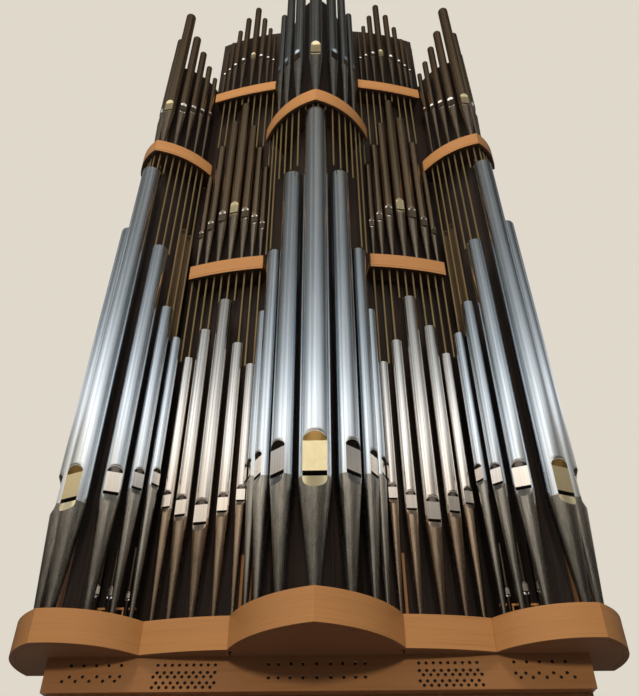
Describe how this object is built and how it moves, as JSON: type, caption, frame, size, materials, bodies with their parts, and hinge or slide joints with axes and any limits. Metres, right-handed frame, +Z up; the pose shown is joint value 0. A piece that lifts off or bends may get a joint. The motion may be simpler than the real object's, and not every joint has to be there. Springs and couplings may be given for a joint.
{
  "type": "pipe organ",
  "caption": "Free-standing pipe organ: wooden case, curved impost with a pointed bow and corner towers, polished front pipes on the impost and on curved upper shelves, gilded rods.",
  "frame": {"origin": "floor level, middle of the width and of the depth", "axes": "+Z up, front faces -Y, +X to the right seen from the front"},
  "size_m": [4.0314, 2.06, 12.458],
  "materials": {
    "maple_panel": "satin varnish",
    "maple_bent": "satin varnish",
    "dark_wood": "matt black stain",
    "pipe_metal": "polished tin",
    "gilded_rod": "satin gilding"
  },
  "bodies": {
    "root": {"base_front": "maple_panel", "base_side_left": "maple_panel", "base_side_right": "maple_panel", "back_wall": "maple_panel", "frieze_board": "maple_panel", "impost_floor": "maple_panel", "impost_rail_centre": "maple_bent", "impost_rail_left": "maple_bent", "impost_rail_right": "maple_bent", "tower_rail_left": "maple_bent", "tower_rail_right": "maple_bent", "case_side_left": "maple_panel", "case_side_right": "maple_panel", "centre_roof": "dark_wood", "tower_roof_left": "dark_wood", "tower_roof_right": "dark_wood", "bow_wall": "dark_wood", "flat_wall_left": "dark_wood", "flat_wall_right": "dark_wood", "tower_wall_left": "dark_wood", "tower_wall_right": "dark_wood", "centre_shelf": "maple_bent", "middle_shelf_left": "maple_bent", "middle_shelf_right": "maple_bent", "top_shelf_left": "maple_bent", "top_shelf_right": "maple_bent", "tower_shelf_left": "maple_bent", "tower_shelf_right": "maple_bent", "centre_rods": "gilded_rod", "flat_rods_left": "gilded_rod", "flat_rods_right": "gilded_rod", "tower_rods_left": "gilded_rod", "tower_rods_right": "gilded_rod", "centre_pipes": "pipe_metal", "flat_pipes_left": "pipe_metal", "flat_pipes_right": "pipe_metal", "tower_pipes_left": "pipe_metal", "tower_pipes_right": "pipe_metal", "middle_pipes_left": "pipe_metal", "middle_pipes_right": "pipe_metal", "top_pipes_left": "pipe_metal", "top_pipes_right": "pipe_metal", "upper_tower_pipes_left": "pipe_metal", "upper_tower_pipes_right": "pipe_metal", "upper_centre_pipes": "pipe_metal"}
  },
  "joints": []
}
